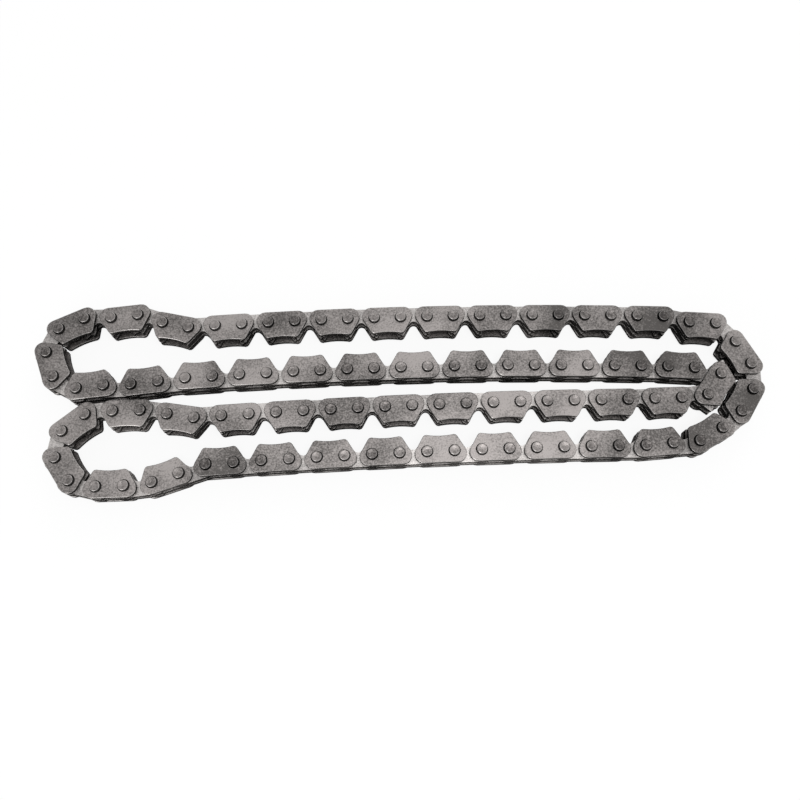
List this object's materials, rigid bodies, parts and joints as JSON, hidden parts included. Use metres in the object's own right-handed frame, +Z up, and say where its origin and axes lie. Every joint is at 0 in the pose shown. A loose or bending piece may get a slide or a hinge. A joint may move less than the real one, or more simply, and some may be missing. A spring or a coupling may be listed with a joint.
{
  "type": "timing chain",
  "caption": "Endless inverted-tooth timing chain: toothed plates between guide plates on round pins, lying on its side in a folded loop.",
  "frame": {"origin": "middle of the folded chain's outline, on the surface that the lower pin ends rest on", "axes": "+X along the runs towards the end with the single wide bend, +Y across the runs from the bottom run to the top run, +Z up along the pins"},
  "size_m": [0.1732, 0.054, 0.0075],
  "materials": {
    "link_steel": "dark heat-treated steel with a fine grain and a soft gloss"
  },
  "bodies": {
    "right_bend_03": {"right_bend_03": "link_steel"},
    "top_run_01": {"top_run_01": "link_steel"},
    "top_run_02": {"top_run_02": "link_steel"},
    "top_run_03": {"top_run_03": "link_steel"},
    "top_run_04": {"top_run_04": "link_steel"},
    "top_run_05": {"top_run_05": "link_steel"},
    "top_run_06": {"top_run_06": "link_steel"},
    "top_run_07": {"top_run_07": "link_steel"},
    "top_run_08": {"top_run_08": "link_steel"},
    "top_run_09": {"top_run_09": "link_steel"},
    "top_run_10": {"top_run_10": "link_steel"},
    "top_run_11": {"top_run_11": "link_steel"},
    "top_run_12": {"top_run_12": "link_steel"},
    "upper_left_bend_01": {"upper_left_bend_01": "link_steel"},
    "upper_left_bend_02": {"upper_left_bend_02": "link_steel"},
    "second_run_01": {"second_run_01": "link_steel"},
    "second_run_02": {"second_run_02": "link_steel"},
    "second_run_03": {"second_run_03": "link_steel"},
    "second_run_04": {"second_run_04": "link_steel"},
    "second_run_05": {"second_run_05": "link_steel"},
    "second_run_06": {"second_run_06": "link_steel"},
    "second_run_07": {"second_run_07": "link_steel"},
    "second_run_08": {"second_run_08": "link_steel"},
    "second_run_09": {"second_run_09": "link_steel"},
    "second_run_10": {"second_run_10": "link_steel"},
    "second_run_11": {"second_run_11": "link_steel"},
    "second_run_12": {"second_run_12": "link_steel"},
    "third_run_02": {"third_run_02": "link_steel"},
    "third_run_03": {"third_run_03": "link_steel"},
    "third_run_04": {"third_run_04": "link_steel"},
    "third_run_05": {"third_run_05": "link_steel"},
    "third_run_06": {"third_run_06": "link_steel"},
    "third_run_07": {"third_run_07": "link_steel"},
    "third_run_08": {"third_run_08": "link_steel"},
    "third_run_09": {"third_run_09": "link_steel"},
    "third_run_10": {"third_run_10": "link_steel"},
    "third_run_11": {"third_run_11": "link_steel"},
    "lower_left_bend_01": {"lower_left_bend_01": "link_steel"},
    "lower_left_bend_02": {"lower_left_bend_02": "link_steel"},
    "bottom_run_01": {"bottom_run_01": "link_steel"},
    "bottom_run_02": {"bottom_run_02": "link_steel"},
    "bottom_run_03": {"bottom_run_03": "link_steel"},
    "bottom_run_04": {"bottom_run_04": "link_steel"},
    "bottom_run_05": {"bottom_run_05": "link_steel"},
    "bottom_run_06": {"bottom_run_06": "link_steel"},
    "bottom_run_07": {"bottom_run_07": "link_steel"},
    "bottom_run_08": {"bottom_run_08": "link_steel"},
    "bottom_run_09": {"bottom_run_09": "link_steel"},
    "bottom_run_10": {"bottom_run_10": "link_steel"},
    "bottom_run_11": {"bottom_run_11": "link_steel"},
    "right_bend_lower": {"right_bend_01": "link_steel", "right_bend_02": "link_steel"},
    "third_run_01": {"third_run_01": "link_steel", "inner_bend": "link_steel"}
  },
  "joints": [
    {"name": "top_run_01_pivot", "type": "hinge", "parent": "right_bend_03", "child": "top_run_01", "pos_m": [0.07555, 0.02308, 0], "axis": [0, 0, -1], "range_deg": [0, 7]},
    {"name": "top_run_02_pivot", "type": "hinge", "parent": "top_run_01", "child": "top_run_02", "pos_m": [0.06295, 0.02418, 0], "axis": [0, 0, -1], "range_deg": [0, 7]},
    {"name": "top_run_03_pivot", "type": "hinge", "parent": "top_run_02", "child": "top_run_03", "pos_m": [0.05026, 0.02374, 0], "axis": [0, 0, -1], "range_deg": [0, 7]},
    {"name": "top_run_04_pivot", "type": "hinge", "parent": "top_run_03", "child": "top_run_04", "pos_m": [0.03757, 0.02316, 0], "axis": [0, 0, -1], "range_deg": [-7, 0]},
    {"name": "top_run_05_pivot", "type": "hinge", "parent": "top_run_04", "child": "top_run_05", "pos_m": [0.02489, 0.02244, 0], "axis": [0, 0, -1], "range_deg": [-7, 0]},
    {"name": "top_run_06_pivot", "type": "hinge", "parent": "top_run_05", "child": "top_run_06", "pos_m": [0.01222, 0.02158, 0], "axis": [0, 0, -1], "range_deg": [-7, 0]},
    {"name": "top_run_07_pivot", "type": "hinge", "parent": "top_run_06", "child": "top_run_07", "pos_m": [-0.00044, 0.02058, 0], "axis": [0, 0, -1], "range_deg": [0, 14]},
    {"name": "top_run_08_pivot", "type": "hinge", "parent": "top_run_07", "child": "top_run_08", "pos_m": [-0.01309, 0.01945, 0], "axis": [0, 0, -1], "range_deg": [0, 7]},
    {"name": "top_run_09_pivot", "type": "hinge", "parent": "top_run_08", "child": "top_run_09", "pos_m": [-0.02573, 0.01817, 0], "axis": [0, 0, -1], "range_deg": [-7, 0]},
    {"name": "top_run_10_pivot", "type": "hinge", "parent": "top_run_09", "child": "top_run_10", "pos_m": [-0.03835, 0.01676, 0], "axis": [0, 0, -1], "range_deg": [-7, 0]},
    {"name": "top_run_11_pivot", "type": "hinge", "parent": "top_run_10", "child": "top_run_11", "pos_m": [-0.05095, 0.01522, 0], "axis": [0, 0, -1], "range_deg": [-7, 0]},
    {"name": "top_run_12_pivot", "type": "hinge", "parent": "top_run_11", "child": "top_run_12", "pos_m": [-0.06337, 0.01774, 0], "axis": [0, 0, 1], "range_deg": [-2, 1.5]},
    {"name": "upper_left_bend_01_pivot", "type": "hinge", "parent": "top_run_12", "child": "upper_left_bend_01", "pos_m": [-0.07595, 0.01609, 0], "axis": [0, 0, 1], "range_deg": [-2, 1.5]},
    {"name": "upper_left_bend_02_pivot", "type": "hinge", "parent": "upper_left_bend_01", "child": "upper_left_bend_02", "pos_m": [-0.08366, 0.00711, 0], "axis": [0, 0, 1], "range_deg": [-3, 4]},
    {"name": "second_run_01_pivot", "type": "hinge", "parent": "upper_left_bend_02", "child": "second_run_01", "pos_m": [-0.07535, -0.0013, 0], "axis": [0, 0, 1], "range_deg": [-2, 1.5]},
    {"name": "second_run_02_pivot", "type": "hinge", "parent": "second_run_01", "child": "second_run_02", "pos_m": [-0.06277, 0.00036, 0], "axis": [0, 0, 1], "range_deg": [-1.5, 2]},
    {"name": "second_run_03_pivot", "type": "hinge", "parent": "second_run_02", "child": "second_run_03", "pos_m": [-0.05026, 0.00256, 0], "axis": [0, 0, -1], "range_deg": [0, 7]},
    {"name": "second_run_04_pivot", "type": "hinge", "parent": "second_run_03", "child": "second_run_04", "pos_m": [-0.03765, 0.00411, 0], "axis": [0, 0, -1], "range_deg": [0, 7]},
    {"name": "second_run_05_pivot", "type": "hinge", "parent": "second_run_04", "child": "second_run_05", "pos_m": [-0.02503, 0.00552, 0], "axis": [0, 0, -1], "range_deg": [0, 7]},
    {"name": "second_run_06_pivot", "type": "hinge", "parent": "second_run_05", "child": "second_run_06", "pos_m": [-0.0124, 0.00679, 0], "axis": [0, 0, -1], "range_deg": [-7, 0]},
    {"name": "second_run_07_pivot", "type": "hinge", "parent": "second_run_06", "child": "second_run_07", "pos_m": [0.00025, 0.00793, 0], "axis": [0, 0, -1], "range_deg": [-14, 0]},
    {"name": "second_run_08_pivot", "type": "hinge", "parent": "second_run_07", "child": "second_run_08", "pos_m": [0.01291, 0.00892, 0], "axis": [0, 0, -1], "range_deg": [0, 7]},
    {"name": "second_run_09_pivot", "type": "hinge", "parent": "second_run_08", "child": "second_run_09", "pos_m": [0.02558, 0.00978, 0], "axis": [0, 0, -1], "range_deg": [0, 7]},
    {"name": "second_run_10_pivot", "type": "hinge", "parent": "second_run_09", "child": "second_run_10", "pos_m": [0.03826, 0.0105, 0], "axis": [0, 0, -1], "range_deg": [0, 7]},
    {"name": "second_run_11_pivot", "type": "hinge", "parent": "second_run_10", "child": "second_run_11", "pos_m": [0.05095, 0.01108, 0], "axis": [0, 0, -1], "range_deg": [-7, 0]},
    {"name": "second_run_12_pivot", "type": "hinge", "parent": "second_run_11", "child": "second_run_12", "pos_m": [0.06364, 0.01153, 0], "axis": [0, 0, -1], "range_deg": [-7, 0]},
    {"name": "right_bend_lower_pivot", "type": "hinge", "parent": "right_bend_03", "child": "right_bend_lower", "pos_m": [0.08349, 0.01328, 0], "axis": [0, 0, 1], "range_deg": [-4, 3]},
    {"name": "bottom_run_11_pivot", "type": "hinge", "parent": "right_bend_lower", "child": "bottom_run_11", "pos_m": [0.07047, -0.00626, 0], "axis": [0, 0, 1], "range_deg": [-3, 4]},
    {"name": "bottom_run_10_pivot", "type": "hinge", "parent": "bottom_run_11", "child": "bottom_run_10", "pos_m": [0.05789, -0.00803, 0], "axis": [0, 0, 1], "range_deg": [0, 7]},
    {"name": "bottom_run_09_pivot", "type": "hinge", "parent": "bottom_run_10", "child": "bottom_run_09", "pos_m": [0.04523, -0.00892, 0], "axis": [0, 0, 1], "range_deg": [0, 7]},
    {"name": "bottom_run_08_pivot", "type": "hinge", "parent": "bottom_run_09", "child": "bottom_run_08", "pos_m": [0.03256, -0.0099, 0], "axis": [0, 0, 1], "range_deg": [0, 7]},
    {"name": "bottom_run_07_pivot", "type": "hinge", "parent": "bottom_run_08", "child": "bottom_run_07", "pos_m": [0.01991, -0.01097, 0], "axis": [0, 0, 1], "range_deg": [0, 7]},
    {"name": "bottom_run_06_pivot", "type": "hinge", "parent": "bottom_run_07", "child": "bottom_run_06", "pos_m": [0.00726, -0.01214, 0], "axis": [0, 0, 1], "range_deg": [0, 7]},
    {"name": "bottom_run_05_pivot", "type": "hinge", "parent": "bottom_run_06", "child": "bottom_run_05", "pos_m": [-0.00537, -0.01341, 0], "axis": [0, 0, 1], "range_deg": [-14, 0]},
    {"name": "bottom_run_04_pivot", "type": "hinge", "parent": "bottom_run_05", "child": "bottom_run_04", "pos_m": [-0.018, -0.01477, 0], "axis": [0, 0, 1], "range_deg": [-7, 0]},
    {"name": "bottom_run_03_pivot", "type": "hinge", "parent": "bottom_run_04", "child": "bottom_run_03", "pos_m": [-0.03062, -0.01622, 0], "axis": [0, 0, 1], "range_deg": [-7, 0]},
    {"name": "bottom_run_02_pivot", "type": "hinge", "parent": "bottom_run_03", "child": "bottom_run_02", "pos_m": [-0.04322, -0.01777, 0], "axis": [0, 0, 1], "range_deg": [-7, 0]},
    {"name": "bottom_run_01_pivot", "type": "hinge", "parent": "bottom_run_02", "child": "bottom_run_01", "pos_m": [-0.055, -0.02252, 0], "axis": [0, 0, 1], "range_deg": [-2, 1.5]},
    {"name": "lower_left_bend_02_pivot", "type": "hinge", "parent": "bottom_run_01", "child": "lower_left_bend_02", "pos_m": [-0.06758, -0.02418, 0], "axis": [0, 0, 1], "range_deg": [-1.5, 2]},
    {"name": "lower_left_bend_01_pivot", "type": "hinge", "parent": "lower_left_bend_02", "child": "lower_left_bend_01", "pos_m": [-0.07768, -0.01803, 0], "axis": [0, 0, 1], "range_deg": [-4, 3]},
    {"name": "third_run_11_pivot", "type": "hinge", "parent": "lower_left_bend_01", "child": "third_run_11", "pos_m": [-0.07237, -0.00746, 0], "axis": [0, 0, 1], "range_deg": [-1.5, 2]},
    {"name": "third_run_10_pivot", "type": "hinge", "parent": "third_run_11", "child": "third_run_10", "pos_m": [-0.05979, -0.0058, 0], "axis": [0, 0, 1], "range_deg": [-1.5, 2]},
    {"name": "third_run_09_pivot", "type": "hinge", "parent": "third_run_10", "child": "third_run_09", "pos_m": [-0.04714, -0.00691, 0], "axis": [0, 0, 1], "range_deg": [0, 7]},
    {"name": "third_run_08_pivot", "type": "hinge", "parent": "third_run_09", "child": "third_run_08", "pos_m": [-0.03454, -0.00536, 0], "axis": [0, 0, 1], "range_deg": [0, 7]},
    {"name": "third_run_07_pivot", "type": "hinge", "parent": "third_run_08", "child": "third_run_07", "pos_m": [-0.02192, -0.00391, 0], "axis": [0, 0, 1], "range_deg": [0, 7]},
    {"name": "third_run_06_pivot", "type": "hinge", "parent": "third_run_07", "child": "third_run_06", "pos_m": [-0.00929, -0.00255, 0], "axis": [0, 0, 1], "range_deg": [0, 14]},
    {"name": "third_run_05_pivot", "type": "hinge", "parent": "third_run_06", "child": "third_run_05", "pos_m": [0.00334, -0.00128, 0], "axis": [0, 0, 1], "range_deg": [-7, 0]},
    {"name": "third_run_04_pivot", "type": "hinge", "parent": "third_run_05", "child": "third_run_04", "pos_m": [0.01599, -0.00011, 0], "axis": [0, 0, 1], "range_deg": [-7, 0]},
    {"name": "third_run_03_pivot", "type": "hinge", "parent": "third_run_04", "child": "third_run_03", "pos_m": [0.02864, 0.00096, 0], "axis": [0, 0, 1], "range_deg": [-7, 0]},
    {"name": "third_run_02_pivot", "type": "hinge", "parent": "third_run_03", "child": "third_run_02", "pos_m": [0.04131, 0.00194, 0], "axis": [0, 0, 1], "range_deg": [-7, 0]},
    {"name": "third_run_01_pivot", "type": "hinge", "parent": "third_run_02", "child": "third_run_01", "pos_m": [0.05398, 0.00283, 0], "axis": [0, 0, 1], "range_deg": [-7, 0]}
  ],
  "couplings": [
    {"joint": "top_run_02_pivot", "follows": "top_run_01_pivot", "ratio": 1},
    {"joint": "top_run_03_pivot", "follows": "top_run_01_pivot", "ratio": 1},
    {"joint": "top_run_04_pivot", "follows": "top_run_01_pivot", "ratio": -1},
    {"joint": "top_run_05_pivot", "follows": "top_run_01_pivot", "ratio": -1},
    {"joint": "top_run_06_pivot", "follows": "top_run_01_pivot", "ratio": -1},
    {"joint": "top_run_08_pivot", "follows": "top_run_07_pivot", "ratio": 0.5},
    {"joint": "top_run_09_pivot", "follows": "top_run_07_pivot", "ratio": -0.5},
    {"joint": "top_run_10_pivot", "follows": "top_run_07_pivot", "ratio": -0.5},
    {"joint": "top_run_11_pivot", "follows": "top_run_07_pivot", "ratio": -0.5},
    {"joint": "top_run_12_pivot", "follows": "right_bend_lower_pivot", "ratio": 0.5},
    {"joint": "upper_left_bend_01_pivot", "follows": "right_bend_lower_pivot", "ratio": 0.5},
    {"joint": "upper_left_bend_02_pivot", "follows": "right_bend_lower_pivot", "ratio": -1},
    {"joint": "second_run_01_pivot", "follows": "right_bend_lower_pivot", "ratio": 0.5},
    {"joint": "second_run_02_pivot", "follows": "right_bend_lower_pivot", "ratio": -0.5},
    {"joint": "second_run_03_pivot", "follows": "top_run_07_pivot", "ratio": 0.5},
    {"joint": "second_run_04_pivot", "follows": "top_run_07_pivot", "ratio": 0.5},
    {"joint": "second_run_05_pivot", "follows": "top_run_07_pivot", "ratio": 0.5},
    {"joint": "second_run_06_pivot", "follows": "top_run_07_pivot", "ratio": -0.5},
    {"joint": "second_run_07_pivot", "follows": "top_run_07_pivot", "ratio": -1},
    {"joint": "second_run_08_pivot", "follows": "top_run_01_pivot", "ratio": 1},
    {"joint": "second_run_09_pivot", "follows": "top_run_01_pivot", "ratio": 1},
    {"joint": "second_run_10_pivot", "follows": "top_run_01_pivot", "ratio": 1},
    {"joint": "second_run_11_pivot", "follows": "top_run_01_pivot", "ratio": -1},
    {"joint": "second_run_12_pivot", "follows": "top_run_01_pivot", "ratio": -1},
    {"joint": "bottom_run_11_pivot", "follows": "right_bend_lower_pivot", "ratio": -1},
    {"joint": "bottom_run_09_pivot", "follows": "bottom_run_10_pivot", "ratio": 1},
    {"joint": "bottom_run_08_pivot", "follows": "bottom_run_10_pivot", "ratio": 1},
    {"joint": "bottom_run_07_pivot", "follows": "bottom_run_10_pivot", "ratio": 1},
    {"joint": "bottom_run_06_pivot", "follows": "bottom_run_10_pivot", "ratio": 1},
    {"joint": "bottom_run_05_pivot", "follows": "bottom_run_10_pivot", "ratio": -2},
    {"joint": "bottom_run_04_pivot", "follows": "bottom_run_10_pivot", "ratio": -1},
    {"joint": "bottom_run_03_pivot", "follows": "bottom_run_10_pivot", "ratio": -1},
    {"joint": "bottom_run_02_pivot", "follows": "bottom_run_10_pivot", "ratio": -1},
    {"joint": "bottom_run_01_pivot", "follows": "right_bend_lower_pivot", "ratio": 0.5},
    {"joint": "lower_left_bend_02_pivot", "follows": "right_bend_lower_pivot", "ratio": -0.5},
    {"joint": "lower_left_bend_01_pivot", "follows": "right_bend_lower_pivot", "ratio": 1},
    {"joint": "third_run_11_pivot", "follows": "right_bend_lower_pivot", "ratio": -0.5},
    {"joint": "third_run_10_pivot", "follows": "right_bend_lower_pivot", "ratio": -0.5},
    {"joint": "third_run_09_pivot", "follows": "bottom_run_10_pivot", "ratio": 1},
    {"joint": "third_run_08_pivot", "follows": "bottom_run_10_pivot", "ratio": 1},
    {"joint": "third_run_07_pivot", "follows": "bottom_run_10_pivot", "ratio": 1},
    {"joint": "third_run_06_pivot", "follows": "bottom_run_10_pivot", "ratio": 2},
    {"joint": "third_run_05_pivot", "follows": "bottom_run_10_pivot", "ratio": -1},
    {"joint": "third_run_04_pivot", "follows": "bottom_run_10_pivot", "ratio": -1},
    {"joint": "third_run_03_pivot", "follows": "bottom_run_10_pivot", "ratio": -1},
    {"joint": "third_run_02_pivot", "follows": "bottom_run_10_pivot", "ratio": -1},
    {"joint": "third_run_01_pivot", "follows": "bottom_run_10_pivot", "ratio": -1}
  ]
}
